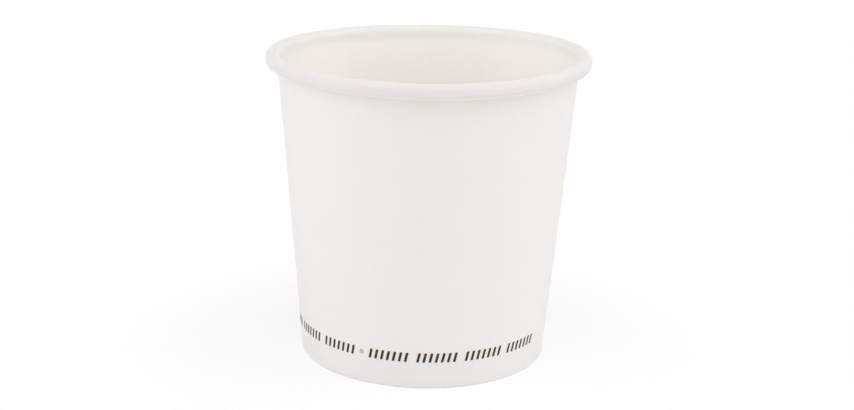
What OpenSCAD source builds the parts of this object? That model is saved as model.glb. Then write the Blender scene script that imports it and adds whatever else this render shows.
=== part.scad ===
// A small paper cup for hot drinks, as it comes off a cup former.
// One paperboard blank is wrapped into a cone, lapped and sealed down one side, rolled outwards at
// the rim and folded inwards at the foot. The fold grips the turned-down skirt of a board disc,
// which is the cup's floor. A border of dark strokes and one pale dot is printed near the foot.
// Lengths are millimetres and angles are degrees. The origin is the centre of the foot on the
// table, +Z points up, and angles around the cup run counter-clockwise from +X, seen from above.

/* [Body] */
// Outer diameter over the rolled rim
rim_d = 62; // [56:0.5:80]
// Outer diameter at the foot, on the line of the wall's outer face
base_d = 47.8; // [42:0.1:52]
// Height from the table to the top of the rim
cup_h = 59.3; // [45:0.1:90]
// Thickness of the side wall's board
wall_t = 0.3; // [0.22:0.01:0.4]

/* [Rolled rim] */
// Width of the roll, from the cup's inside to its outermost edge
roll_w = 2.5; // [2:0.1:3.5]
// Height of the straight stretch between the roll's upper and lower bends
roll_flat = 0.4; // [0.1:0.1:1.2]
// Gap left between the roll's free edge and the wall
roll_edge_gap = 0.12; // [0.05:0.01:0.3]

/* [Base] */
// Thickness of the base disc's board
disc_t = 0.3; // [0.2:0.01:0.4]
// Height of the base disc's upper face above the table
disc_z = 6; // [5:0.1:10]
// Outer radius of the bend between the base disc and its skirt
bend_r = 0.7; // [0.5:0.05:1.5]
// Thickness of the seal between two layers of board in the foot
seal_t = 0.03; // [0.01:0.01:0.06]
// Gap between the base disc's underside and the hem's upper edge
hem_gap = 0.6; // [0.3:0.1:2]
// Depth by which the folded foot is pressed flat
foot_press = 0.05; // [0.02:0.01:0.1]

/* [Side seam] */
// Angle of the middle of the lapped seam around the cup
seam_angle = 117; // [0:1:359]
// Width of the lapped seam
seam_w = 7; // [4:0.5:10]
// Height above the table at which the outer lap starts
seam_foot_z = 0.5; // [0.3:0.1:2]
// Gap between the top of the outer lap and the underside of the roll
seam_top_gap = 0.3; // [0.2:0.1:1]

/* [Printed border] */
// Height of the middle of the border above the table
border_z = 6.3; // [4:0.1:40]
// Height of a stroke
stroke_h = 1.9; // [0.8:0.1:4]
// Width of a stroke
stroke_w = 0.5; // [0.2:0.02:0.8]
// Lean of a stroke from the upright
stroke_lean = 12; // [0:1:30]
// Distance from one stroke to the next in a run
stroke_pitch = 1.15; // [0.9:0.05:3]
// Number of strokes in a run
run_strokes = 7; // [1:1:12]
// Number of runs on each side of the dot
run_count = 4; // [1:1:6]
// Distance from the last stroke of a run to the first of the next
run_gap = 2.3; // [1:0.1:5]
// Diameter of the dot
dot_d = 0.95; // [0.4:0.05:2]
// Angle of the dot around the cup
dot_angle = 242.5; // [0:0.5:359.5]
// Distance from the middle of the dot to the nearest stroke
dot_margin = 1.9; // [1:0.1:5]
// Unprinted distance on each side of the seam
seam_margin = 1.2; // [0.5:0.1:4]
// Thickness of the ink film
ink_t = 0.04; // [0.02:0.01:0.08]

/* [Hidden] */
$fn = 120;

board_colour = [0.94, 0.93, 0.91];
disc_colour = [0.93, 0.92, 0.88];
stroke_colour = [0.27, 0.2, 0.15];
dot_colour = [0.6, 0.71, 0.78];

rim_r = rim_d / 2;
base_r = base_d / 2;

// Largest angle between two points of a round stretch of an outline
bend_step = 10;

// Centre of the roll's upper bend, as radius and height, and the bottom of the roll
roll_r = roll_w / 2;
roll_centre = [rim_r - roll_r, cup_h - roll_r];
roll_foot_z = roll_centre.y - roll_flat - roll_r;

// The wall's outer face runs from the foot to touch the roll's hollow at its upper bend
roll_reach = roll_centre - [base_r, 0];
roll_hollow_r = roll_r - wall_t;
wall_lean = atan2(roll_reach.x, roll_reach.y) - asin(roll_hollow_r / norm(roll_reach));

// Direction from the roll's lower bend to the outer corner of the board's free edge
roll_edge_x = (roll_edge_gap - roll_hollow_r - roll_flat * sin(wall_lean)) / roll_r;
roll_edge_angle = 360 - acos(roll_edge_x) - wall_lean;

// The fold at the foot wraps the skirt and a seal on each side of it
fold_hollow_r = disc_t / 2 + seal_t;
fold_r = fold_hollow_r + wall_t;
fold_run = run_at(-fold_r, fold_r - foot_press);
hem_run = run_at(-fold_r * 2, disc_z - disc_t - hem_gap);

// Middle of the skirt's board, and of its bend into the disc, outwards from the wall's outer face
skirt_x = -wall_t - seal_t - disc_t / 2;
bend_x = -wall_t - seal_t - bend_r;
bend_centre = on_wall(bend_x, run_at(bend_x, disc_z - bend_r));

// The seam's outer lap: its two ends up the wall, and the angle that it takes around the cup
seam_start = run_at(0, seam_foot_z);
seam_stop = run_at(0, roll_foot_z - seam_top_gap);
seam_span = seam_w / on_wall(0, (seam_start + seam_stop) / 2).x * 180 / PI;

// The border is laid out by angle, on the wall at the border's middle height
border_run = run_at(0, border_z);
border_r = on_wall(0, border_run).x;
run_step = (run_strokes - 1) * stroke_pitch + run_gap;
seam_clear_angle = arc_angle(seam_w / 2 + seam_margin);

// Depth of the blocks that cut the border's shapes out of the ink film
stamp_depth = 4;

// Distance up the wall to the height z, for a point that lies x outwards from the wall's outer face
function run_at(x, z) = (z + x * sin(wall_lean)) / cos(wall_lean);

// Radius and height of the point x outwards from the wall's outer face and run up along it
function on_wall(x, run) = [
    base_r + x * cos(wall_lean) + run * sin(wall_lean),
    run * cos(wall_lean) - x * sin(wall_lean)
];

// Angle that a distance along the border takes around the cup
function arc_angle(distance) = distance / border_r * 180 / PI;

// Smallest angle between two directions around the cup
function angle_between(a, b) = abs(((a - b + 540) % 360) - 180);

// A bend of a board: points of its middle layer, each with the direction of the board's left face
function bend(centre, radius, start, stop) =
    let (steps = ceil(abs(stop - start) / bend_step), side = sign(start - stop))
    [
        for (step = [0 : steps])
            let (angle = start + (stop - start) * step / steps)
            let (ray = [cos(angle), sin(angle)])
            [centre + radius * ray, side * ray]
    ];

// Outline of a board of even thickness that follows a path of such points
function board_outline(path, thickness) = concat(
    [for (point = path) point[0] + point[1] * thickness / 2],
    [for (i = [len(path) - 1 : -1 : 0]) path[i][0] - path[i][1] * thickness / 2]
);

// Angles of the strokes: runs on both sides of the dot, kept off the seam
stroke_angles = [
    for (side = [-1, 1], run = [0 : run_count - 1], stroke = [0 : run_strokes - 1])
        let (distance = dot_margin + run * run_step + stroke * stroke_pitch)
        let (angle = dot_angle + side * arc_angle(distance))
        if (angle_between(angle, seam_angle) > seam_clear_angle) angle
];

// Section of a straight layer on the wall, from x_in to x_out outwards from the wall's outer face
module wall_layer(x_in, x_out, start, stop) {
    polygon([on_wall(x_in, start), on_wall(x_out, start), on_wall(x_out, stop), on_wall(x_in, stop)]);
}

// Section of the blank, from the free edge of the roll over the rim, down the wall and round the
// foot to the edge of the hem, pressed flat where it stands on the table
module blank_section() {
    path = concat(
        bend(roll_centre - [0, roll_flat], roll_r - wall_t / 2, roll_edge_angle, 360),
        bend(roll_centre, roll_r - wall_t / 2, 0, 180 - wall_lean),
        bend(on_wall(-fold_r, fold_run), fold_r - wall_t / 2, -wall_lean, -180 - wall_lean),
        [[on_wall(wall_t / 2 - fold_r * 2, hem_run), [-cos(wall_lean), sin(wall_lean)]]]
    );
    difference() {
        polygon(board_outline(path, wall_t));
        translate([0, -fold_r])
            square([rim_r, fold_r]);
    }
}

// Section of the base disc, from the cup's axis out to its bend and down the skirt
module disc_section() {
    path = concat(
        [[[0, disc_z - disc_t / 2], [0, 1]]],
        bend(bend_centre, bend_r - disc_t / 2, 90, -wall_lean),
        [[on_wall(skirt_x, fold_run), [cos(wall_lean), -sin(wall_lean)]]]
    );
    polygon(board_outline(path, disc_t));
}

// The board blank: wall, rolled rim, folded foot and the outer layer of the lapped seam
module side_wall() {
    color(board_colour)
        union() {
            rotate_extrude()
                blank_section();
            rotate(seam_angle - seam_span / 2)
                rotate_extrude(angle = seam_span)
                    wall_layer(-wall_t / 2, wall_t, seam_start, seam_stop);
        }
}

// The floor of the cup: a board disc whose edge is turned down into the folded foot
module base_disc() {
    color(disc_colour)
        rotate_extrude()
            disc_section();
}

// A shape printed on the wall: the part of an ink film that lies within it, at each given angle
module printed(angles, height) {
    intersection() {
        rotate_extrude()
            wall_layer(0, ink_t, border_run - height, border_run + height);
        for (angle = angles)
            rotate(angle)
                translate([border_r - stamp_depth / 2, 0, border_z])
                    rotate([90, 0, 90])
                        linear_extrude(stamp_depth)
                            children();
    }
}

// The dark strokes of the border, which lean to the right as seen from outside the cup
module printed_strokes() {
    shift = tan(stroke_lean) * stroke_h / 2;
    color(stroke_colour)
        printed(stroke_angles, stroke_h)
            polygon([
                [-stroke_w / 2 - shift, -stroke_h / 2],
                [stroke_w / 2 - shift, -stroke_h / 2],
                [stroke_w / 2 + shift, stroke_h / 2],
                [-stroke_w / 2 + shift, stroke_h / 2]
            ]);
}

// The pale dot in the middle of the border
module printed_dot() {
    color(dot_colour)
        printed([dot_angle], dot_d)
            circle(d = dot_d);
}

side_wall();
base_disc();
printed_strokes();
printed_dot();
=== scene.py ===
"""Looks of a small paper cup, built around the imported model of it.

The cup is one board blank, wrapped into a cone with a lapped seam, rolled outwards at the rim and
folded inwards at the foot, and a board disc gripped in the fold. Dark strokes and a pale dot are
printed near the foot. Lengths are metres and angles are radians, unless a name says otherwise.
"""

from __future__ import annotations

import logging
import math
from collections.abc import Callable, Sequence
from dataclasses import dataclass, replace
from enum import Enum
from typing import Any

import bpy
from mathutils import Matrix, Vector

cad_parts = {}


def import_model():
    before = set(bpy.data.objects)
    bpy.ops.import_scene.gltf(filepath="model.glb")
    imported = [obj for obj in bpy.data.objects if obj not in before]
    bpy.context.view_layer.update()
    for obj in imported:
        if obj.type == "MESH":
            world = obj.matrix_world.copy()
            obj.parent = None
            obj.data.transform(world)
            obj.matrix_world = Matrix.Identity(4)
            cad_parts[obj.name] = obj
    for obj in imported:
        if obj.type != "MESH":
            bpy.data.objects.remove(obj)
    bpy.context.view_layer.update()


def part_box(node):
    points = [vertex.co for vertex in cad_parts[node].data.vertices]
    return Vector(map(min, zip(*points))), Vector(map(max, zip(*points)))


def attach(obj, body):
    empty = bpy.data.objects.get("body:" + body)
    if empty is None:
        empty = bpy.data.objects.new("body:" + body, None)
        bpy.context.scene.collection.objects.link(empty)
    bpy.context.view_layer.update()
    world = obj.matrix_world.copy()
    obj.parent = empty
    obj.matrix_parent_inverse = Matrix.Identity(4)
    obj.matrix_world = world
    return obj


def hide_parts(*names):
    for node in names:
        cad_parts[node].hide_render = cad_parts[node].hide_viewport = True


MM = 0.001
BODY = "root"
# Sockets of a Mix node for colours, whose names are shared with its other data types
COLOUR_A, COLOUR_B, COLOUR_RESULT = 6, 7, 2

log = logging.getLogger("paper_cup")

Point = tuple[float, float]
Colour = tuple[float, float, float]


class Face(Enum):
    """The two faces of the board."""

    PRINTED = 0.0
    COATED = 1.0


class NodeWeb:
    """Adds nodes to one tree and links them, so that a tree reads as a list of steps."""

    def __init__(self, tree: bpy.types.NodeTree) -> None:
        """Keeps the tree.

        Args:
            tree: A geometry or shader node tree.
        """
        self.tree = tree

    def add(
        self,
        kind: str,
        inputs: dict[str | int, Any] | None = None,
        **settings: Any,
    ) -> bpy.types.Node:
        """Adds one node.

        Args:
            kind: The node's type name.
            inputs: Values or sockets for its inputs, by name or number.
            **settings: Values for its own properties.

        Returns:
            The new node.
        """
        node = self.tree.nodes.new(kind)
        for name, value in settings.items():
            setattr(node, name, value)
        for key, value in (inputs or {}).items():
            self.feed(node.inputs[key], value)
        return node

    def feed(self, socket: bpy.types.NodeSocket, value: Any) -> None:
        """Links a socket to an input, or sets the input's own value.

        Args:
            socket: The input.
            value: A socket to link, or a value to set.
        """
        if isinstance(value, bpy.types.NodeSocket):
            self.tree.links.new(value, socket)
        else:
            socket.default_value = value

    def math(self, operation: str, *values: Any) -> bpy.types.NodeSocket:
        """Adds a Math node.

        Args:
            operation: The node's operation.
            *values: Its inputs, in order.

        Returns:
            The result's socket.
        """
        inputs = dict(enumerate(values))
        return self.add("ShaderNodeMath", inputs, operation=operation).outputs[0]

    def total(self, first: Any, *others: Any) -> bpy.types.NodeSocket:
        """Adds values up.

        Args:
            first: The first value.
            *others: The values to add to it.

        Returns:
            The sum's socket.
        """
        for other in others:
            first = self.math("ADD", first, other)
        return first

    def product(self, first: Any, *others: Any) -> bpy.types.NodeSocket:
        """Multiplies values.

        Args:
            first: The first value.
            *others: The values to multiply it by.

        Returns:
            The product's socket.
        """
        for other in others:
            first = self.math("MULTIPLY", first, other)
        return first

    def ramp(self, value: Any, low: Any, high: Any) -> bpy.types.NodeSocket:
        """Rises smoothly from 0 to 1.

        Args:
            value: The value to read.
            low: Where the rise starts.
            high: Where the rise ends.

        Returns:
            The rise's socket.
        """
        inputs = {"Value": value, "From Min": low, "From Max": high}
        return self.add("ShaderNodeMapRange", inputs, interpolation_type="SMOOTHSTEP").outputs[0]

    def fall(self, value: Any, low: Any, high: Any) -> bpy.types.NodeSocket:
        """Falls smoothly from 1 to 0 between low and high, and returns the socket."""
        return self.math("SUBTRACT", 1.0, self.ramp(value, low, high))

    def bell(self, value: Any, middle: Any, width: Any) -> bpy.types.NodeSocket:
        """Makes a bell curve of height 1.

        Args:
            value: The value to read.
            middle: Where the bell peaks.
            width: The distance at which it has fallen to a third.

        Returns:
            The curve's socket.
        """
        away = self.math("DIVIDE", self.math("SUBTRACT", value, middle), width)
        return self.math("EXPONENT", self.product(away, away, -1.0))


class GeometryTree(NodeWeb):
    """A geometry node tree with named inputs, made in steps and then applied to one object."""

    def __init__(self, name: str, sizes: dict[str, str]) -> None:
        """Makes the tree with a geometry input and output.

        Args:
            name: The tree's name.
            sizes: Names of the other inputs, each with its socket type.
        """
        super().__init__(bpy.data.node_groups.new(name, "GeometryNodeTree"))
        face = self.tree.interface
        face.new_socket("Geometry", in_out="OUTPUT", socket_type="NodeSocketGeometry")
        face.new_socket("Geometry", in_out="INPUT", socket_type="NodeSocketGeometry")
        self.identifiers: dict[str, str] = {}
        for title, kind in sizes.items():
            socket = face.new_socket(title, in_out="INPUT", socket_type=kind)
            self.identifiers[title] = socket.identifier
        self.source = self.add("NodeGroupInput").outputs

    def sample(self, geometry: Any, value: Any, index: Any, kind: str) -> bpy.types.NodeSocket:
        """Reads a value at one point of a geometry.

        Args:
            geometry: The geometry to read from.
            value: The field to read.
            index: The point's number.
            kind: The value's data type.

        Returns:
            The value's socket.
        """
        node = self.add("GeometryNodeSampleIndex", data_type=kind, domain="POINT")
        self.feed(node.inputs["Geometry"], geometry)
        self.feed(node.inputs["Value"], value)
        self.feed(node.inputs["Index"], index)
        return node.outputs["Value"]

    def from_points(self, value: Any) -> bpy.types.NodeSocket:
        """Averages a value of the points over each face, and returns its socket."""
        node = self.add("GeometryNodeFieldOnDomain", {0: value}, data_type="FLOAT", domain="POINT")
        return node.outputs[0]

    def named(self, name: str, kind: str) -> bpy.types.NodeSocket:
        """Reads a named attribute.

        Args:
            name: The attribute's name.
            kind: Its data type.

        Returns:
            The attribute's socket.
        """
        inputs = {"Name": name}
        node = self.add("GeometryNodeInputNamedAttribute", inputs, data_type=kind)
        return node.outputs["Attribute"]

    def store(
        self, geometry: Any, name: str, value: Any, kind: str, domain: str
    ) -> bpy.types.NodeSocket:
        """Stores a named attribute.

        Args:
            geometry: The geometry to store it on.
            name: The attribute's name.
            value: The field to store.
            kind: Its data type.
            domain: Where it is kept: on points, faces or corners.

        Returns:
            The geometry's socket.
        """
        node = self.add("GeometryNodeStoreNamedAttribute", data_type=kind, domain=domain)
        for key, entry in (("Geometry", geometry), ("Name", name), ("Value", value)):
            self.feed(node.inputs[key], entry)
        return node.outputs["Geometry"]

    def place(self, geometry: Any, x: Any, y: Any, z: Any) -> bpy.types.NodeSocket:
        """Puts a geometry's points at new places.

        Args:
            geometry: The geometry to move.
            x: The points' x.
            y: The points' y.
            z: The points' z.

        Returns:
            The geometry's socket.
        """
        spot = self.add("ShaderNodeCombineXYZ", {"X": x, "Y": y, "Z": z}).outputs[0]
        inputs = {"Geometry": geometry, "Position": spot}
        return self.add("GeometryNodeSetPosition", inputs).outputs["Geometry"]

    def end(self, geometry: Any) -> None:
        """Closes the tree: instances become real, and the material is set.

        Args:
            geometry: The finished geometry.
        """
        real = self.add("GeometryNodeRealizeInstances", {"Geometry": geometry})
        inputs = {"Geometry": real.outputs[0], "Material": self.source["Material"]}
        dressed = self.add("GeometryNodeSetMaterial", inputs)
        self.add("NodeGroupOutput", {"Geometry": dressed.outputs[0]})

    def make(
        self, name: str, shape: bpy.types.Mesh, values: dict[str, Any], crease: float
    ) -> bpy.types.Object:
        """Runs the tree on a mesh and returns the result as a plain mesh object.

        Args:
            name: The new piece's name.
            shape: The mesh that the tree starts from.
            values: The tree's inputs, by name.
            crease: The angle above which an edge is shaded sharp.

        Returns:
            The piece, with no modifier, at the origin.
        """
        start = bpy.data.objects.new(name + "_start", shape)
        bpy.context.scene.collection.objects.link(start)
        modifier = start.modifiers.new("tree", "NODES")
        modifier.node_group = self.tree
        for title, value in values.items():
            modifier[self.identifiers[title]] = value
        shown = start.evaluated_get(bpy.context.evaluated_depsgraph_get())
        mesh = bpy.data.meshes.new_from_object(shown)
        bpy.data.objects.remove(start)
        mesh.name = name
        mesh.shade_smooth()
        mesh.set_sharp_from_angle(angle=crease)
        piece = bpy.data.objects.new(name, mesh)
        bpy.context.scene.collection.objects.link(piece)
        return piece


@dataclass(frozen=True)
class CupForm:
    """The cup's sizes: what the frame gives, and the sizes of the board and its folds."""

    rim_r: float
    height: float
    floor_z: float
    base_r: float = 23.9 * MM
    wall_t: float = 0.3 * MM
    disc_t: float = 0.3 * MM
    seal_t: float = 0.03 * MM
    roll_w: float = 2.5 * MM
    roll_flat: float = 0.4 * MM
    roll_edge_gap: float = 0.12 * MM
    bend_r: float = 0.7 * MM
    hem_gap: float = 0.6 * MM
    foot_press: float = 0.05 * MM

    @classmethod
    def from_frame(cls) -> CupForm:
        """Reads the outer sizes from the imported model.

        Returns:
            The cup's sizes.
        """
        _, wall_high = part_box("side_wall")
        _, disc_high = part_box("base_disc")
        return cls(rim_r=wall_high.x, height=wall_high.z, floor_z=disc_high.z)

    @property
    def roll_r(self) -> float:
        """Outer radius of the roll's bends."""
        return self.roll_w / 2

    @property
    def roll_centre(self) -> Vector:
        """Centre of the roll's upper bend, as radius and height."""
        return Vector((self.rim_r - self.roll_r, self.height - self.roll_r))

    @property
    def wall_lean(self) -> float:
        """Angle of the wall from the upright."""
        reach = self.roll_centre - Vector((self.base_r, 0))
        return math.atan2(reach.x, reach.y) - math.asin((self.roll_r - self.wall_t) / reach.length)

    @property
    def fold_r(self) -> float:
        """Outer radius of the fold at the foot."""
        return self.disc_t / 2 + self.seal_t + self.wall_t

    @property
    def fold_run(self) -> float:
        """Distance up the wall at which the fold at the foot begins."""
        return self.run_at(-self.fold_r, self.fold_r - self.foot_press)

    def run_at(self, out: float, z: float) -> float:
        """Finds how far up the wall a height is.

        Args:
            out: Distance outwards from the wall's outer face.
            z: Height above the table.

        Returns:
            The distance up the wall from the table.
        """
        return (z + out * math.sin(self.wall_lean)) / math.cos(self.wall_lean)

    def on_wall(self, out: float, run: float) -> Vector:
        """Finds a point near the wall.

        Args:
            out: Distance outwards from the wall's outer face.
            run: Distance up the wall.

        Returns:
            The point's radius and height.
        """
        lean = self.wall_lean
        radius = self.base_r + out * math.cos(lean) + run * math.sin(lean)
        return Vector((radius, run * math.cos(lean) - out * math.sin(lean)))


@dataclass
class BoardSection:
    """The section of a board: points of its middle layer.

    Each has the way to the board's left face, and the mark of the roll's painted shade: 1 over the
    roll's face and crest, fading out towards its ends, 0 elsewhere.
    """

    thickness: float
    points: list[tuple[Vector, Vector, float]]

    def bend(
        self,
        centre: Vector,
        radius: float,
        start: float,
        stop: float,
        step: float,
        marks: Callable[[float], float] | None = None,
    ) -> None:
        """Adds a round stretch.

        Args:
            centre: The bend's centre, as radius and height.
            radius: The radius of the middle layer.
            start: Direction of the first point, in degrees.
            stop: Direction of the last point, in degrees.
            step: Largest angle between two points, in degrees.
            marks: Gives the mark of the painted shade on the rolled rim for a direction in
                degrees.
        """
        count = math.ceil(abs(stop - start) / step)
        side = 1.0 if start > stop else -1.0
        for i in range(count + 1):
            turn = start + (stop - start) * i / count
            angle = math.radians(turn)
            ray = Vector((math.cos(angle), math.sin(angle)))
            mark = marks(turn) if marks else 0.0
            self.points.append((centre + radius * ray, side * ray, mark))

    def straight(self, end: Vector, steps: int) -> None:
        """Adds a straight stretch from the last point.

        Args:
            end: The point where it ends.
            steps: The number of points to add.
        """
        start = self.points[-1][0].copy()
        along = (end - start).normalized()
        left = Vector((-along.y, along.x))
        for i in range(1, steps + 1):
            self.points.append((start.lerp(end, i / steps), left, 0.0))

    def mesh(self, name: str) -> bpy.types.Mesh:
        """Makes the section's closed outline as loose points in the XZ plane.

        Each point carries the face of the board that it is on, the mark of the painted shade on
        the rolled rim, and the direction from the coated face to the printed one.

        Args:
            name: The mesh's name.

        Returns:
            The mesh.
        """
        half = self.thickness / 2
        ways = [way for _, way, _ in self.points]
        rolls = [rolled for _, _, rolled in self.points]
        left = [spot + way * half for spot, way, _ in self.points]
        right = [spot - way * half for spot, way, _ in reversed(self.points)]
        sides = [Face.PRINTED.value] * len(left) + [Face.COATED.value] * len(right)
        mesh = bpy.data.meshes.new(name)
        mesh.from_pydata([(spot.x, 0.0, spot.y) for spot in left + right], [], [])
        for title, values in (("coated", sides), ("rolled", rolls + rolls[::-1])):
            marks = mesh.attributes.new(title, "FLOAT", "POINT")
            marks.data.foreach_set("value", values)
        outward = mesh.attributes.new("outward", "FLOAT_VECTOR", "POINT")
        flat = [part for way in ways + ways[::-1] for part in (way.x, 0.0, way.y)]
        outward.data.foreach_set("vector", flat)
        return mesh


@dataclass(frozen=True)
class Seam:
    """The lapped side seam: the board's outer end lies over its inner end."""

    middle_angle: float = math.radians(117.0)
    lap_w: float = 7.0 * MM
    ramp_w: float = 3.2 * MM
    inner_step: float = 0.15
    roll_swell: float = 0.35
    pinch: float = 0.05


@dataclass(frozen=True)
class RimShape:
    """How the rolled rim departs from a flat, true ring."""

    tilt: float = 0.23 * MM
    saddle: float = 0.22 * MM
    skew: float = 0.06 * MM
    neck_depth: float = 0.06 * MM
    neck_w: float = math.radians(38.0)
    neck_length: float = 3.0 * MM
    lip_below: float = 1.4 * MM
    lip_w: float = 0.7 * MM
    lip_dip: float = 0.95 * MM
    lip_dip_angle: float = math.radians(112.0)
    lip_rise: float = 0.4 * MM
    lip_rise_angle: float = math.radians(125.0)
    lip_wave_w: float = math.radians(4.5)
    # Directions, in degrees, over which the painted shade on the roll rises in and fades out
    # again.
    shade_rise_turns: Point = (-75.0, -30.0)
    shade_fall_turns: Point = (118.0, 172.0)

    def roll_shade(self, turn: float) -> float:
        """Tells how much painted shade darkens the roll: most outside, least at its ends, so its
        lower edge stays light as a painted light line.

        Args:
            turn: The direction from the roll's centre, in degrees from straight outwards.

        Returns:
            The share of painted shade, from 0 to 1.
        """
        (low, under), (over, high) = self.shade_rise_turns, self.shade_fall_turns
        rise = (turn - low) / (under - low)
        fall = (high - turn) / (high - over)
        return max(0.0, min(1.0, rise, fall))


class TurnedBoard:
    """Turns a board's section round the cup's axis, with its seam and its irregular rim."""

    SIZES = {
        "Columns": "NodeSocketInt",
        "Seam Columns": "NodeSocketInt",
        "Seam Start": "NodeSocketFloat",
        "Ramp Columns": "NodeSocketFloat",
        "Pinch": "NodeSocketFloat",
        "Board Thickness": "NodeSocketFloat",
        "Inner Step": "NodeSocketFloat",
        "Roll Swell": "NodeSocketFloat",
        "Roll Bottom": "NodeSocketFloat",
        "Rim Height": "NodeSocketFloat",
        "Rim Tilt": "NodeSocketFloat",
        "Rim Saddle": "NodeSocketFloat",
        "Rim Skew": "NodeSocketFloat",
        "Neck Depth": "NodeSocketFloat",
        "Neck Width": "NodeSocketFloat",
        "Neck Length": "NodeSocketFloat",
        "Lip Height": "NodeSocketFloat",
        "Lip Width": "NodeSocketFloat",
        "Lip Dip": "NodeSocketFloat",
        "Lip Dip Angle": "NodeSocketFloat",
        "Lip Rise": "NodeSocketFloat",
        "Lip Rise Angle": "NodeSocketFloat",
        "Lip Wave Width": "NodeSocketFloat",
        "Ripple": "NodeSocketFloat",
        "Ripple Seed": "NodeSocketFloat",
        "Material": "NodeSocketMaterial",
    }
    SNAP_REACH = 0.75
    SWELL_COLUMNS = 4.0
    PRESSED_COLUMNS = 2.5
    FOOT_CLEAR = 1.2 * MM
    MERGE_DISTANCE = 0.001 * MM
    EDGE_REACH = 0.75
    EDGE_SHARE = 0.75
    RIPPLE_SCALE = 90.0
    RIPPLE_DETAIL = 1.0
    RIPPLE_RISE = (0.15, 0.45)
    RIPPLE_FALL = (0.7, 0.94)
    WARP_START = 0.35

    def __init__(self) -> None:
        """Builds the tree."""
        self.web = GeometryTree("turned_board", self.SIZES)
        self.build()

    def build(self) -> None:
        """Lays out the grid, bends it into the turned board and stores what the finish reads."""
        web = self.web
        size = web.source
        section = size["Geometry"]
        domain = web.add("GeometryNodeAttributeDomainSize", {"Geometry": section})
        rows = domain.outputs["Point Count"]
        grid = web.add("GeometryNodeMeshGrid")
        web.feed(grid.inputs["Vertices X"], web.total(size["Columns"], 1.0))
        web.feed(grid.inputs["Vertices Y"], web.total(rows, 1.0))
        index = web.add("GeometryNodeInputIndex").outputs[0]
        stride = web.total(rows, 1.0)
        column = web.math("FLOOR", web.math("DIVIDE", web.total(index, 0.5), stride))
        row = web.math("SUBTRACT", index, web.product(column, stride))
        row = web.math("MODULO", row, rows)

        spot = web.sample(
            section, web.add("GeometryNodeInputPosition").outputs[0], row, "FLOAT_VECTOR"
        )
        outward = web.sample(section, web.named("outward", "FLOAT_VECTOR"), row, "FLOAT_VECTOR")
        coated = web.sample(section, web.named("coated", "FLOAT"), row, "FLOAT")
        rolled = web.sample(section, web.named("rolled", "FLOAT"), row, "FLOAT")
        place = self.around(column)
        angle = web.total(
            size["Seam Start"],
            web.product(place, web.math("DIVIDE", math.tau, size["Columns"])),
        )
        shift = web.total(self.lap(place, coated, spot), self.neck(angle, spot, outward))
        moved = web.add(
            "ShaderNodeVectorMath", {0: outward, "Scale": shift}, operation="SCALE"
        )
        point = web.add("ShaderNodeVectorMath", {0: spot, 1: moved.outputs[0]}, operation="ADD")
        parts = web.add("ShaderNodeSeparateXYZ", {0: point.outputs[0]}).outputs
        radius = web.total(parts["X"], self.ripple(angle, parts["Z"]))
        height = web.total(parts["Z"], self.rim_wave(angle, parts["Z"]))
        across = web.product(radius, web.math("COSINE", angle))
        along = web.product(radius, web.math("SINE", angle))
        turned = web.place(grid.outputs["Mesh"], across, along, height)
        turned = web.store(turned, "UVMap", grid.outputs["UV Map"], "FLOAT2", "CORNER")
        turned = web.store(turned, "coated", web.from_points(coated), "FLOAT", "FACE")
        # The mark of the roll's painted shade, which the board's material reads.
        turned = web.store(turned, "rolled", rolled, "FLOAT", "POINT")
        turned = web.store(turned, "cut_edge", self.cut_edge(place, coated), "FLOAT", "FACE")
        inputs = {"Geometry": turned, "Distance": self.MERGE_DISTANCE}
        merged = web.add("GeometryNodeMergeByDistance", inputs).outputs[0]
        web.end(merged)

    def around(self, column: Any) -> bpy.types.NodeSocket:
        """Finds each column's place around the cup, in columns from the seam's outer edge.

        The two columns beside that cut edge move close to it, so that its step is crisp.

        Args:
            column: The column's number.

        Returns:
            The place's socket.
        """
        web = self.web
        size = web.source
        half = web.math("DIVIDE", size["Columns"], 2.0)
        place = web.math(
            "WRAP", web.total(column, 0.5), half, web.math("MULTIPLY", half, -1.0)
        )
        pull = web.math("SUBTRACT", size["Pinch"], 1.0)
        near = web.math("LESS_THAN", web.math("ABSOLUTE", place), self.SNAP_REACH)
        return web.total(place, web.product(place, near, pull))

    def lap(self, place: Any, coated: Any, spot: Any) -> bpy.types.NodeSocket:
        """Lifts the board where its ends overlap.

        Args:
            place: The place around the cup.
            coated: The face of the board.
            spot: The point of the section.

        Returns:
            The distance to move the point outwards through the board.
        """
        web = self.web
        size = web.source
        inner_edge = size["Seam Columns"]
        fading = web.fall(place, inner_edge, web.total(inner_edge, size["Ramp Columns"]))
        over = web.product(web.math("GREATER_THAN", place, 0.0), fading)
        inner_step = web.ramp(
            web.math("SUBTRACT", place, inner_edge), -self.PRESSED_COLUMNS, self.PRESSED_COLUMNS
        )
        beside = web.product(inner_step, fading, size["Inner Step"])
        height = web.add("ShaderNodeSeparateXYZ", {0: spot}).outputs["Z"]
        in_roll = web.ramp(height, size["Roll Bottom"], size["Rim Height"])
        on_wall = web.product(
            web.ramp(height, 0.0, self.FOOT_CLEAR), web.math("SUBTRACT", 1.0, in_roll)
        )
        printed = web.math("SUBTRACT", 1.0, coated)
        lift = web.total(web.product(printed, over), web.product(coated, beside))
        swelling = web.product(web.ramp(place, -self.SWELL_COLUMNS, 0.0), fading)
        swell = web.product(swelling, in_roll, size["Roll Swell"])
        lift = web.math("SUBTRACT", web.product(lift, on_wall), swell)
        return web.product(lift, size["Board Thickness"])

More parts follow.
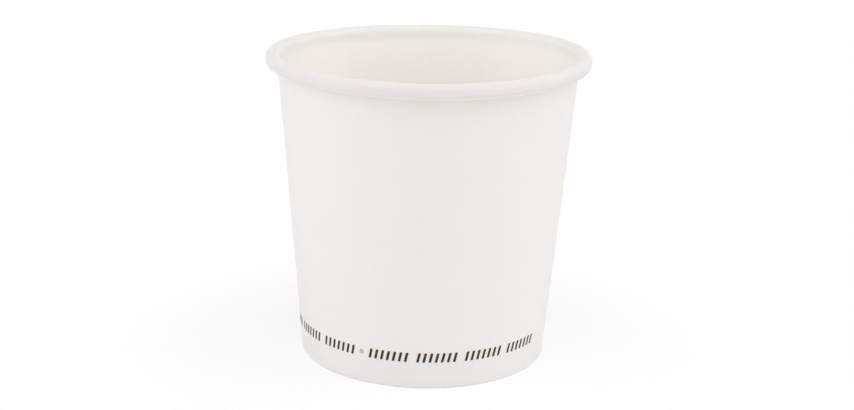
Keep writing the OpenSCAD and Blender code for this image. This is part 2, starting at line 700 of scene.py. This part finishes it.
    def neck(self, angle: Any, spot: Any, outward: Any) -> bpy.types.NodeSocket:
        """Presses the wall back under the roll around the seam, where its inner lip is wavy.

        Args:
            angle: The angle around the cup.
            spot: The point of the section.
            outward: The direction through the board.

        Returns:
            The distance to move the point outwards through the board.
        """
        web = self.web
        size = web.source
        width = size["Lip Wave Width"]
        dip = web.product(web.bell(angle, size["Lip Dip Angle"], width), size["Lip Dip"])
        rise = web.product(web.bell(angle, size["Lip Rise Angle"], width), size["Lip Rise"])
        lip = web.math("SUBTRACT", web.total(size["Lip Height"], rise), dip)
        height = web.add("ShaderNodeSeparateXYZ", {0: spot}).outputs["Z"]
        below = web.math("SUBTRACT", lip, height)
        foot = web.total(size["Lip Width"], size["Neck Length"])
        pressed = web.product(
            web.ramp(below, 0.0, size["Lip Width"]), web.fall(below, size["Lip Width"], foot)
        )
        faces_out = web.add("ShaderNodeSeparateXYZ", {0: outward}).outputs["X"]
        faces_out = web.math("MAXIMUM", faces_out, 0.0)
        near_seam = web.bell(angle, size["Lip Dip Angle"], size["Neck Width"])
        return web.product(pressed, faces_out, near_seam, size["Neck Depth"])

    def ripple(self, angle: Any, height: Any) -> bpy.types.NodeSocket:
        """Lets the wall depart a little from a true cone, between the foot and the rim.

        Args:
            angle: The angle around the cup.
            height: The height above the table.

        Returns:
            The change of radius.
        """
        web = self.web
        size = web.source
        inputs = {
            "X": web.product(web.math("COSINE", angle), size["Rim Height"]),
            "Y": web.product(web.math("SINE", angle), size["Rim Height"]),
            "Z": height,
        }
        where = web.add("ShaderNodeCombineXYZ", inputs).outputs[0]
        noise = web.add("ShaderNodeTexNoise", noise_dimensions="4D")
        web.feed(noise.inputs["Vector"], where)
        web.feed(noise.inputs["W"], size["Ripple Seed"])
        web.feed(noise.inputs["Scale"], self.RIPPLE_SCALE)
        web.feed(noise.inputs["Detail"], self.RIPPLE_DETAIL)
        waves = web.math("SUBTRACT", noise.outputs[0], 0.5)
        low, high = (web.product(size["Rim Height"], share) for share in self.RIPPLE_RISE)
        near, far = (web.product(size["Rim Height"], share) for share in self.RIPPLE_FALL)
        free = web.product(web.ramp(height, low, high), web.fall(height, near, far))
        return web.product(waves, free, size["Ripple"])

    def rim_wave(self, angle: Any, height: Any) -> bpy.types.NodeSocket:
        """Tilts and warps the rim.

        Args:
            angle: The angle around the cup.
            height: The height above the table.

        Returns:
            The change of height.
        """
        web = self.web
        size = web.source
        twice = web.product(angle, 2.0)
        wave = web.total(
            web.product(web.math("COSINE", angle), size["Rim Tilt"]),
            web.product(web.math("COSINE", twice), size["Rim Saddle"]),
            web.product(web.math("SINE", twice), size["Rim Skew"]),
        )
        rim = size["Rim Height"]
        return web.product(wave, web.ramp(height, web.product(rim, self.WARP_START), rim))

    def cut_edge(self, place: Any, coated: Any) -> bpy.types.NodeSocket:
        """Marks the faces of the seam's outer cut edge.

        Args:
            place: The place around the cup.
            coated: The face of the board.

        Returns:
            The mark's socket.
        """
        web = self.web
        away = web.math("ABSOLUTE", place)
        reach = web.product(web.source["Pinch"], self.EDGE_REACH)
        beside = web.math("LESS_THAN", away, reach)
        outside = web.product(beside, web.math("SUBTRACT", 1.0, coated))
        return web.math("GREATER_THAN", web.from_points(outside), self.EDGE_SHARE)


@dataclass(frozen=True)
class FibreLook:
    """The fine structure of the board: cloudy colour and short fibres."""

    cloud_scale: float = 140.0
    cloud_detail: float = 3.0
    fibre_scale: float = 2600.0
    fibre_detail: float = 4.0
    speck_scale: float = 900.0
    speck_detail: float = 2.0

    def group(self) -> bpy.types.NodeTree:
        """Gives the shared node group, built at the first call.

        Its outputs are a cloudy value around 0.5 and a height for a Bump node.

        Returns:
            The group.
        """
        name = "board_fibres"
        if name in bpy.data.node_groups:
            return bpy.data.node_groups[name]
        tree = bpy.data.node_groups.new(name, "ShaderNodeTree")
        face = tree.interface
        for title, value in (("Stretch", 0.35), ("Fibre Share", 0.6)):
            socket = face.new_socket(title, in_out="INPUT", socket_type="NodeSocketFloat")
            socket.default_value = value
        for title in ("Cloud", "Height"):
            face.new_socket(title, in_out="OUTPUT", socket_type="NodeSocketFloat")
        web = NodeWeb(tree)
        source = web.add("NodeGroupInput").outputs
        place = web.add("ShaderNodeTexCoord").outputs["Object"]
        parts = web.add("ShaderNodeSeparateXYZ", {0: place}).outputs
        tall = web.product(parts["Z"], source["Stretch"])
        inputs = {"X": parts["X"], "Y": parts["Y"], "Z": tall}
        drawn = web.add("ShaderNodeCombineXYZ", inputs).outputs[0]
        cloud = self.noise(web, place, self.cloud_scale, self.cloud_detail)
        fibre = self.noise(web, drawn, self.fibre_scale, self.fibre_detail)
        speck = self.noise(web, place, self.speck_scale, self.speck_detail)
        share = source["Fibre Share"]
        rest = web.math("SUBTRACT", 1.0, share)
        height = web.total(web.product(fibre, share), web.product(speck, rest))
        web.add("NodeGroupOutput", {"Cloud": cloud, "Height": height})
        return tree

    @staticmethod
    def noise(web: NodeWeb, place: Any, scale: float, detail: float) -> bpy.types.NodeSocket:
        """Adds a noise texture of the given scale and detail, and returns its value's socket."""
        inputs = {"Vector": place, "Scale": scale, "Detail": detail}
        return web.add("ShaderNodeTexNoise", inputs).outputs[0]


@dataclass(frozen=True)
class BoardFinish:
    """White cup board: bare and matt on its printed face, satin on its coated one, whose lighter,
    creamier colour is painted light for the inside of the cup.
    """

    name: str
    bare: Colour
    # Partly painted light: the coated face's own satin board, painted lighter and creamier to
    # stand in for the light inside the cup.
    coated: Colour
    # Painted shade: the darker colour painted over the roll's face, not a colour of the board.
    rolled: Colour
    core: Colour
    bare_rough: float = 0.9
    coated_rough: float = 0.55
    gloss: float = 0.3
    translucency: float = 0.4
    scatter_length: float = 0.45 * MM
    scatter_reach: Colour = (1.0, 0.88, 0.7)
    mottle: float = 0.022
    end_band: float = 0.3
    bump_distance: float = 0.012 * MM
    bump_strength: float = 0.35

    def material(self, fibres: FibreLook) -> bpy.types.Material:
        """Builds the material.

        Args:
            fibres: The board's fine structure.

        Returns:
            The material.
        """
        made = bpy.data.materials.new(self.name)
        made.use_nodes = True
        web = NodeWeb(made.node_tree)
        shader = made.node_tree.nodes["Principled BSDF"]
        grain = web.add("ShaderNodeGroup", node_tree=fibres.group()).outputs
        coat = web.add("ShaderNodeAttribute", attribute_name="coated").outputs["Fac"]
        cut = web.add("ShaderNodeAttribute", attribute_name="cut_edge").outputs["Fac"]
        between = web.math("ABSOLUTE", web.math("SUBTRACT", coat, 0.5))
        end_face = web.math("LESS_THAN", between, self.end_band)
        edge = web.math("MAXIMUM", cut, end_face)
        # Painted shade: the roll's face is painted darker by the roll mark, and its lighter lower
        # edge is a painted light line.
        roll = web.add("ShaderNodeAttribute", attribute_name="rolled").outputs["Fac"]
        film = self.mix(web, roll, (*self.coated, 1.0), (*self.rolled, 1.0))
        colour = self.mix(web, coat, (*self.bare, 1.0), film)
        colour = self.mix(web, edge, colour, (*self.core, 1.0))
        shade = web.total(1.0 - self.mottle / 2, web.product(grain["Cloud"], self.mottle))
        tint = web.add("ShaderNodeCombineXYZ", {"X": shade, "Y": shade, "Z": shade}).outputs[0]
        inputs = {"Factor": 1.0, COLOUR_A: colour, COLOUR_B: tint}
        mottled = web.add("ShaderNodeMix", inputs, data_type="RGBA", blend_type="MULTIPLY")
        web.feed(shader.inputs["Base Color"], mottled.outputs[COLOUR_RESULT])
        rough = web.total(self.bare_rough, web.product(coat, self.coated_rough - self.bare_rough))
        web.feed(shader.inputs["Roughness"], rough)
        shader.inputs["Specular IOR Level"].default_value = self.gloss
        shader.inputs["Subsurface Weight"].default_value = self.translucency
        shader.inputs["Subsurface Scale"].default_value = self.scatter_length
        shader.inputs["Subsurface Radius"].default_value = self.scatter_reach
        inputs = {
            "Height": grain["Height"],
            "Distance": self.bump_distance,
            "Strength": self.bump_strength,
        }
        bump = web.add("ShaderNodeBump", inputs)
        web.feed(shader.inputs["Normal"], bump.outputs["Normal"])
        return made

    @staticmethod
    def mix(web: NodeWeb, factor: Any, first: Any, second: Any) -> bpy.types.NodeSocket:
        """Mixes two colours by a factor, and returns the result's socket."""
        inputs = {"Factor": factor, COLOUR_A: first, COLOUR_B: second}
        return web.add("ShaderNodeMix", inputs, data_type="RGBA").outputs[COLOUR_RESULT]


@dataclass(frozen=True)
class InkFinish:
    """Matt ink that has sunk a little into the board."""

    name: str
    colour: Colour
    thin: Colour
    thin_band: Point = (0.35, 0.7)
    rough: float = 0.75
    gloss: float = 0.25
    bump_distance: float = 0.01 * MM
    bump_strength: float = 0.3

    def material(self, fibres: FibreLook) -> bpy.types.Material:
        """Builds the material.

        Args:
            fibres: The fine structure of the board under the ink.

        Returns:
            The material.
        """
        made = bpy.data.materials.new(self.name)
        made.use_nodes = True
        web = NodeWeb(made.node_tree)
        shader = made.node_tree.nodes["Principled BSDF"]
        grain = web.add("ShaderNodeGroup", node_tree=fibres.group()).outputs
        cover = web.ramp(grain["Height"], *self.thin_band)
        colour = BoardFinish.mix(web, cover, (*self.colour, 1.0), (*self.thin, 1.0))
        web.feed(shader.inputs["Base Color"], colour)
        shader.inputs["Roughness"].default_value = self.rough
        shader.inputs["Specular IOR Level"].default_value = self.gloss
        inputs = {
            "Height": grain["Height"],
            "Distance": self.bump_distance,
            "Strength": self.bump_strength,
        }
        bump = web.add("ShaderNodeBump", inputs)
        web.feed(shader.inputs["Normal"], bump.outputs["Normal"])
        return made


@dataclass
class SideWall:
    """The board blank: wall, lapped seam, rolled rim and folded foot."""

    form: CupForm
    seam: Seam
    rim: RimShape
    columns: int = 352
    neck_reach: float = 7.0 * MM
    neck_steps: int = 22
    wall_steps: int = 26
    hem_steps: int = 3
    roll_step: float = 7.5
    fold_step: float = 18.0
    ripple: float = 0.12 * MM
    ripple_seed: float = 3.0
    crease: float = math.radians(40.0)

    def section(self) -> BoardSection:
        """Lays the board's section out, from the roll's free edge to the edge of the hem.

        Returns:
            The section.
        """
        form, rim = self.form, self.rim
        lean = math.degrees(form.wall_lean)
        lower = form.roll_centre - Vector((0.0, form.roll_flat))
        hollow_r = form.roll_r - form.wall_t
        corner = form.roll_edge_gap - hollow_r - form.roll_flat * math.sin(form.wall_lean)
        edge_angle = 360.0 - math.degrees(math.acos(corner / form.roll_r)) - lean
        roll_middle = form.roll_r - form.wall_t / 2
        board = BoardSection(form.wall_t, [])
        # The roll's two bends carry the mark of its painted shade.
        board.bend(lower, roll_middle, edge_angle - 360.0, 0.0, self.roll_step, rim.roll_shade)
        board.bend(form.roll_centre, roll_middle, 0.0, 180.0 - lean, self.roll_step, rim.roll_shade)
        neck_end = form.run_at(-form.wall_t / 2, form.height - self.neck_reach)
        board.straight(form.on_wall(-form.wall_t / 2, neck_end), self.neck_steps)
        board.straight(form.on_wall(-form.wall_t / 2, form.fold_run), self.wall_steps)
        fold_middle = form.fold_r - form.wall_t / 2
        fold_centre = form.on_wall(-form.fold_r, form.fold_run)
        del board.points[-1]
        board.bend(fold_centre, fold_middle, -lean, -180.0 - lean, self.fold_step)
        hem_x = form.wall_t / 2 - 2 * form.fold_r
        hem_top = form.run_at(-2 * form.fold_r, form.floor_z - form.disc_t - form.hem_gap)
        board.straight(form.on_wall(hem_x, hem_top), self.hem_steps)
        return board

    def build(self, tree: TurnedBoard, finish: bpy.types.Material) -> bpy.types.Object:
        """Builds the wall.

        Args:
            tree: The tree that turns a section.
            finish: The board's material.

        Returns:
            The finished piece.
        """
        form, seam, rim = self.form, self.seam, self.rim
        outline = self.section().mesh("wall_section")
        for vertex in outline.vertices:
            vertex.co.z = max(vertex.co.z, 0.0)
        middle_r = form.on_wall(0.0, form.height / 2).x
        column_w = math.tau * middle_r / self.columns
        lap_columns = round(seam.lap_w / column_w)
        values = {
            "Columns": self.columns,
            "Seam Columns": lap_columns,
            "Seam Start": seam.middle_angle - lap_columns * math.pi / self.columns,
            "Ramp Columns": seam.ramp_w / column_w,
            "Pinch": seam.pinch,
            "Board Thickness": form.wall_t,
            "Inner Step": seam.inner_step,
            "Roll Swell": seam.roll_swell,
            "Roll Bottom": form.roll_centre.y - form.roll_flat - form.roll_r,
            "Rim Height": form.height,
            "Rim Tilt": rim.tilt,
            "Rim Saddle": rim.saddle,
            "Rim Skew": rim.skew,
            "Neck Depth": rim.neck_depth,
            "Neck Width": rim.neck_w,
            "Neck Length": rim.neck_length,
            "Lip Height": form.height - rim.lip_below,
            "Lip Width": rim.lip_w,
            "Lip Dip": rim.lip_dip,
            "Lip Dip Angle": rim.lip_dip_angle,
            "Lip Rise": rim.lip_rise,
            "Lip Rise Angle": rim.lip_rise_angle,
            "Lip Wave Width": rim.lip_wave_w,
            "Ripple": self.ripple,
            "Ripple Seed": self.ripple_seed,
            "Material": finish,
        }
        return tree.web.make("wall_blank", outline, values, self.crease)


@dataclass
class BaseDisc:
    """The cup's floor: a board disc with its edge turned down into the fold."""

    form: CupForm
    columns: int = 180
    floor_steps: int = 10
    skirt_steps: int = 4
    bend_step: float = 10.0
    crease: float = math.radians(40.0)

    def section(self) -> BoardSection:
        """Lays the disc's section out, from the cup's axis to the edge of the skirt.

        Returns:
            The section.
        """
        form = self.form
        lean = math.degrees(form.wall_lean)
        middle = form.floor_z - form.disc_t / 2
        bend_x = -form.wall_t - form.seal_t - form.bend_r
        bend_centre = form.on_wall(bend_x, form.run_at(bend_x, form.floor_z - form.bend_r))
        skirt_x = -form.wall_t - form.seal_t - form.disc_t / 2
        board = BoardSection(form.disc_t, [(Vector((0.0, middle)), Vector((0.0, 1.0)), 0.0)])
        board.straight(Vector((bend_centre.x, middle)), self.floor_steps)
        del board.points[-1]
        board.bend(bend_centre, form.bend_r - form.disc_t / 2, 90.0, -lean, self.bend_step)
        board.straight(form.on_wall(skirt_x, form.fold_run), self.skirt_steps)
        board.points = [(spot, -way, rolled) for spot, way, rolled in board.points]
        return board

    def build(self, tree: TurnedBoard, finish: bpy.types.Material) -> bpy.types.Object:
        """Builds the disc.

        Args:
            tree: The tree that turns a section.
            finish: The board's material.

        Returns:
            The finished piece.
        """
        values = {title: 0.0 for title, kind in tree.SIZES.items() if kind == "NodeSocketFloat"}
        values.update(
            {
                "Columns": self.columns,
                "Seam Columns": 0,
                "Pinch": 1.0,
                "Rim Height": self.form.height,
                "Neck Width": 1.0,
                "Neck Length": 1.0,
                "Lip Width": 1.0,
                "Lip Wave Width": 1.0,
                "Ramp Columns": 1.0,
                "Material": finish,
            }
        )
        outline = self.section().mesh("disc_section")
        return tree.web.make("floor_disc", outline, values, self.crease)


class WrappedPrint:
    """Lays a shape out in runs on a flat sheet and wraps the sheet round the wall."""

    SIZES = {
        "Runs": "NodeSocketInt",
        "Run Copies": "NodeSocketInt",
        "Sides": "NodeSocketInt",
        "Pitch": "NodeSocketFloat",
        "Run Step": "NodeSocketFloat",
        "Margin": "NodeSocketFloat",
        "Middle Angle": "NodeSocketFloat",
        "Wall Radius": "NodeSocketFloat",
        "Wall Height": "NodeSocketFloat",
        "Wall Lean": "NodeSocketFloat",
        "Material": "NodeSocketMaterial",
    }

    def __init__(self) -> None:
        """Builds the tree."""
        self.web = GeometryTree("wrapped_print", self.SIZES)
        self.build()

    def build(self) -> None:
        """Places the copies along a line, then wraps them round the leaning wall."""
        web = self.web
        size = web.source
        per_side = web.product(size["Runs"], size["Run Copies"])
        line = web.add("GeometryNodeMeshLine")
        web.feed(line.inputs["Count"], web.product(per_side, size["Sides"]))
        index = web.add("GeometryNodeInputIndex").outputs[0]
        side = web.math("FLOOR", web.math("DIVIDE", web.total(index, 0.5), per_side))
        within = web.math("SUBTRACT", index, web.product(side, per_side))
        run = web.math("FLOOR", web.math("DIVIDE", web.total(within, 0.5), size["Run Copies"]))
        copy = web.math("SUBTRACT", within, web.product(run, size["Run Copies"]))
        distance = web.total(
            size["Margin"], web.product(run, size["Run Step"]), web.product(copy, size["Pitch"])
        )
        way = web.math("SUBTRACT", web.product(side, 2.0), 1.0)
        points = web.place(line.outputs["Mesh"], web.product(distance, way), 0.0, 0.0)
        inputs = {"Points": points, "Instance": size["Geometry"]}
        copies = web.add("GeometryNodeInstanceOnPoints", inputs).outputs[0]
        sheet = web.add("GeometryNodeRealizeInstances", {"Geometry": copies}).outputs[0]
        spot = web.add("GeometryNodeInputPosition").outputs[0]
        flat = web.add("ShaderNodeSeparateXYZ", {0: spot}).outputs
        sheet = web.store(sheet, "UVMap", spot, "FLOAT2", "CORNER")
        angle = web.total(
            size["Middle Angle"], web.math("DIVIDE", flat["X"], size["Wall Radius"])
        )
        lean_cos = web.math("COSINE", size["Wall Lean"])
        lean_sin = web.math("SINE", size["Wall Lean"])
        radius = web.total(
            size["Wall Radius"],
            web.product(flat["Z"], lean_cos),
            web.product(flat["Y"], lean_sin),
        )
        height = web.total(
            size["Wall Height"],
            web.product(flat["Y"], lean_cos),
            web.product(flat["Z"], lean_sin, -1.0),
        )
        across = web.product(radius, web.math("COSINE", angle))
        along = web.product(radius, web.math("SINE", angle))
        web.end(web.place(sheet, across, along, height))


@dataclass
class PrintedBorder:
    """The border near the foot: runs of leaning strokes on both sides of one pale dot."""

    form: CupForm
    middle_z: float = 6.3 * MM
    dot_angle: float = math.radians(242.5)
    dot_d: float = 0.95 * MM
    margin: float = 1.9 * MM
    stroke_w: float = 0.5 * MM
    stroke_h: float = 1.9 * MM
    stroke_lean: float = math.radians(12.0)
    stroke_pitch: float = 1.15 * MM
    run_strokes: int = 7
    run_gap: float = 2.3 * MM
    runs: int = 4
    corner_r: float = 0.12 * MM
    corner_steps: int = 4
    dot_steps: int = 40
    ink_proud: float = 0.02 * MM
    ink_sunk: float = 0.03 * MM
    crease: float = math.radians(30.0)

    def stroke_outline(self) -> list[Point]:
        """Draws one stroke: a leaning bar with rounded corners.

        Returns:
            The stroke's outline, anticlockwise.
        """
        half_w = self.stroke_w / 2 - self.corner_r
        half_h = self.stroke_h / 2 - self.corner_r
        points = []
        for quarter, (x, y) in enumerate(((1, 1), (-1, 1), (-1, -1), (1, -1))):
            for i in range(self.corner_steps + 1):
                angle = (quarter + i / self.corner_steps) * math.pi / 2
                across = x * half_w + self.corner_r * math.cos(angle)
                up = y * half_h + self.corner_r * math.sin(angle)
                points.append((across + up * math.tan(self.stroke_lean), up))
        return points

    def dot_outline(self) -> list[Point]:
        """Draws the dot."""
        turns = (math.tau * i / self.dot_steps for i in range(self.dot_steps))
        return [(self.dot_d / 2 * math.cos(a), self.dot_d / 2 * math.sin(a)) for a in turns]

    def film(self, name: str, outline: Sequence[Point]) -> bpy.types.Mesh:
        """Makes an ink film of the outline, closed on all sides.

        Args:
            name: The mesh's name.
            outline: The film's outline on the flat sheet, anticlockwise.

        Returns:
            The mesh.
        """
        count = len(outline)
        low = [(x, y, -self.ink_sunk) for x, y in outline]
        high = [(x, y, self.ink_proud) for x, y in outline]
        middle = [(0.0, 0.0, -self.ink_sunk), (0.0, 0.0, self.ink_proud)]
        faces: list[tuple[int, ...]] = []
        for i in range(count):
            j = (i + 1) % count
            faces.append((i, j, count + j, count + i))
            faces.append((j, i, 2 * count))
            faces.append((count + i, count + j, 2 * count + 1))
        mesh = bpy.data.meshes.new(name)
        mesh.from_pydata(low + high + middle, [], faces)
        return mesh

    def values(self, finish: bpy.types.Material) -> dict[str, Any]:
        """Gives the tree's inputs for one shape in the middle of the border.

        Args:
            finish: The ink.

        Returns:
            The inputs by name.
        """
        form = self.form
        run = form.run_at(0.0, self.middle_z)
        return {
            "Runs": 1,
            "Run Copies": 1,
            "Sides": 1,
            "Pitch": 0.0,
            "Run Step": 0.0,
            "Margin": 0.0,
            "Middle Angle": self.dot_angle,
            "Wall Radius": form.on_wall(0.0, run).x,
            "Wall Height": self.middle_z,
            "Wall Lean": form.wall_lean,
            "Material": finish,
        }

    def strokes(self, tree: WrappedPrint, finish: bpy.types.Material) -> bpy.types.Object:
        """Prints the strokes.

        Args:
            tree: The tree that wraps a print.
            finish: The dark ink.

        Returns:
            The finished piece.
        """
        values = self.values(finish)
        values.update(
            {
                "Runs": self.runs,
                "Run Copies": self.run_strokes,
                "Sides": 2,
                "Pitch": self.stroke_pitch,
                "Run Step": (self.run_strokes - 1) * self.stroke_pitch + self.run_gap,
                "Margin": self.margin,
            }
        )
        shape = self.film("stroke_film", self.stroke_outline())
        return tree.web.make("border_strokes", shape, values, self.crease)

    def dot(self, tree: WrappedPrint, finish: bpy.types.Material) -> bpy.types.Object:
        """Prints the dot.

        Args:
            tree: The tree that wraps a print.
            finish: The pale ink.

        Returns:
            The finished piece.
        """
        shape = self.film("dot_film", self.dot_outline())
        return tree.web.make("border_dot", shape, self.values(finish), self.crease)


@dataclass(frozen=True)
class SoftBox:
    """One soft lamp: a square panel that faces the cup."""

    name: str
    azimuth: float
    elevation: float
    power: float
    distance: float = 0.9
    width: float = 0.7

    def build(self, target: Vector) -> None:
        """Hangs the lamp.

        Args:
            target: The point that the lamp faces.
        """
        lamp = bpy.data.lights.new(self.name, "AREA")
        lamp.shape = "SQUARE"
        lamp.size = self.width
        lamp.energy = self.power
        holder = bpy.data.objects.new(self.name, lamp)
        turn, rise = math.radians(self.azimuth), math.radians(self.elevation)
        level = math.cos(rise)
        away = Vector((math.cos(turn) * level, math.sin(turn) * level, math.sin(rise)))
        holder.location = target + away * self.distance
        holder.rotation_euler = away.to_track_quat("Z", "Y").to_euler()
        bpy.context.scene.collection.objects.link(holder)


@dataclass
class Studio:
    """The white studio: floor, ambient light, lamps and the photograph's camera."""

    target: Vector
    ambient: float = 0.45
    floor_half: float = 2.0
    floor_colour: Colour = (0.93, 0.93, 0.93)
    shadow_share: float = 0.3
    shadow_near: float = 26.0 * MM
    shadow_far: float = 75.0 * MM
    camera_distance: float = 312.8 * MM
    camera_rise: float = 0.279
    camera_pan: float = 0.001
    camera_tilt: float = -0.004
    camera_roll: float = -0.023
    image_width: float = 854.0
    focal_pixels: float = 1600.0
    sensor_width: float = 36.0

    def seen_directly(self, web: NodeWeb) -> bpy.types.NodeSocket:
        """Tells rays that show the background, straight or mirrored, from rays that light.

        Args:
            web: The tree to add the nodes to.

        Returns:
            The socket of a value that is 1 for rays that show the background.
        """
        path = web.add("ShaderNodeLightPath").outputs
        shown = web.math("MAXIMUM", path["Is Camera Ray"], path["Is Glossy Ray"])
        return web.math("MAXIMUM", shown, path["Is Transmission Ray"])

    def surround(self) -> None:
        """Fills the world: white where it is seen, an even grey light where it lights the cup."""
        world = bpy.data.worlds.new("studio_surround")
        world.use_nodes = True
        bpy.context.scene.world = world
        web = NodeWeb(world.node_tree)
        backdrop = world.node_tree.nodes["Background"]
        backdrop.inputs["Color"].default_value = (1.0, 1.0, 1.0, 1.0)
        shown = self.seen_directly(web)
        strength = web.total(self.ambient, web.product(shown, 1.0 - self.ambient))
        web.feed(backdrop.inputs["Strength"], strength)

    def floor(self) -> None:
        """Lays the floor. It is seen as white, and takes the cup's soft shadow near the foot."""
        half = self.floor_half
        corners = [(-half, -half, 0.0), (half, -half, 0.0), (half, half, 0.0), (-half, half, 0.0)]
        mesh = bpy.data.meshes.new("studio_floor")
        mesh.from_pydata(corners, [], [(0, 1, 2, 3)])
        plane = bpy.data.objects.new("studio_floor", mesh)
        bpy.context.scene.collection.objects.link(plane)
        made = bpy.data.materials.new("floor_white")
        made.use_nodes = True
        tree = made.node_tree
        tree.nodes.remove(tree.nodes["Principled BSDF"])
        web = NodeWeb(tree)
        output = tree.nodes["Material Output"]
        lit = web.add("ShaderNodeBsdfDiffuse", {"Color": (*self.floor_colour, 1.0)}).outputs[0]
        glow = web.add("ShaderNodeEmission", {"Strength": 1.0}).outputs[0]
        place = web.add("ShaderNodeTexCoord").outputs["Object"]
        away = web.add("ShaderNodeVectorMath", {0: place}, operation="LENGTH").outputs["Value"]
        share = web.product(web.fall(away, self.shadow_near, self.shadow_far), self.shadow_share)
        shadowed = web.add("ShaderNodeMixShader", {0: share, 1: glow, 2: lit})
        inputs = {0: self.seen_directly(web), 1: lit, 2: shadowed.outputs[0]}
        web.feed(output.inputs["Surface"], web.add("ShaderNodeMixShader", inputs).outputs[0])
        mesh.materials.append(made)

    def camera(self) -> None:
        """Places the camera where the photograph was taken from."""
        data = bpy.data.cameras.new("photo_camera")
        data.sensor_width = self.sensor_width
        data.lens = self.focal_pixels / self.image_width * self.sensor_width
        rise = self.camera_rise
        back = Vector((0.0, -math.cos(rise), math.sin(rise)))
        right = Vector((1.0, 0.0, 0.0))
        axes = Matrix((right, back.cross(right), back)).transposed()
        turn = Matrix.Rotation(-self.camera_pan, 3, "Y")
        nod = Matrix.Rotation(self.camera_tilt, 3, "X")
        roll = Matrix.Rotation(-self.camera_roll, 3, "Z")
        place = Matrix.Translation(self.target + back * self.camera_distance)
        holder = bpy.data.objects.new("photo_camera", data)
        holder.matrix_world = place @ (axes @ turn @ nod @ roll).to_4x4()
        bpy.context.scene.collection.objects.link(holder)
        bpy.context.scene.camera = holder

    def build(self, lamps: Sequence[SoftBox]) -> None:
        """Sets the studio up.

        Args:
            lamps: The soft lamps.
        """
        bpy.context.scene.view_settings.view_transform = "Standard"
        self.surround()
        self.floor()
        for lamp in lamps:
            lamp.build(self.target)
        self.camera()


def dress(piece: bpy.types.Object, node: str) -> None:
    """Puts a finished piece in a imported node's place.

    Args:
        piece: The finished piece.
        node: The node that it stands for.
    """
    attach(piece, BODY)
    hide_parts(node)
    triangles = sum(len(polygon.vertices) - 2 for polygon in piece.data.polygons)
    log.info("%s stands for %s: %d triangles", piece.name, node, triangles)


def main() -> None:
    """Builds the cup and its studio."""
    logging.basicConfig(level=logging.INFO, format="%(name)s: %(message)s")
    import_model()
    form = CupForm.from_frame()
    fibres = FibreLook()
    wall_board = BoardFinish(
        "wall_board",
        bare=(0.82, 0.8, 0.786),
        # Painted light: the coated face, seen mostly inside the cup, is painted lighter and
        # creamier than the board.
        coated=(0.94, 0.91, 0.875),
        # Painted shade on the roll's face, darker than the coated board.
        rolled=(0.79, 0.752, 0.732),
        core=(0.8, 0.77, 0.72),
    )
    floor_board = replace(wall_board, name="base_board")
    dark_ink = InkFinish("dark_ink", colour=(0.05, 0.024, 0.01), thin=(0.11, 0.06, 0.03))
    pale_ink = InkFinish("pale_ink", colour=(0.42, 0.49, 0.5), thin=(0.5, 0.56, 0.565))

    turned = TurnedBoard()
    wall = SideWall(form, Seam(), RimShape()).build(turned, wall_board.material(fibres))
    dress(wall, "side_wall")
    disc = BaseDisc(form).build(turned, floor_board.material(fibres))
    dress(disc, "base_disc")

    wrapped = WrappedPrint()
    border = PrintedBorder(form)
    strokes = border.strokes(wrapped, dark_ink.material(fibres))
    dress(strokes, "printed_strokes")
    dot = border.dot(wrapped, pale_ink.material(fibres))
    dress(dot, "printed_dot")

    lamps = (
        SoftBox("lamp_left", azimuth=180.0, elevation=20.0, power=1.96),
        SoftBox("lamp_right", azimuth=0.0, elevation=20.0, power=1.45),
        SoftBox("lamp_high_left", azimuth=180.0, elevation=55.0, power=0.35),
        SoftBox("lamp_high_right", azimuth=0.0, elevation=55.0, power=1.6),
        SoftBox("lamp_front_fill", azimuth=270.0, elevation=18.0, power=0.5, width=0.5),
        SoftBox("lamp_front_left", azimuth=225.0, elevation=30.0, power=1.02),
        SoftBox("lamp_front_right", azimuth=315.0, elevation=30.0, power=0.8),
        SoftBox("lamp_high_front", azimuth=270.0, elevation=60.0, power=1.5),
        SoftBox("lamp_back", azimuth=90.0, elevation=45.0, power=0.5),
    )
    Studio(target=Vector((0.0, 0.0, 30.0 * MM))).build(lamps)


if __name__ == "__main__":
    main()
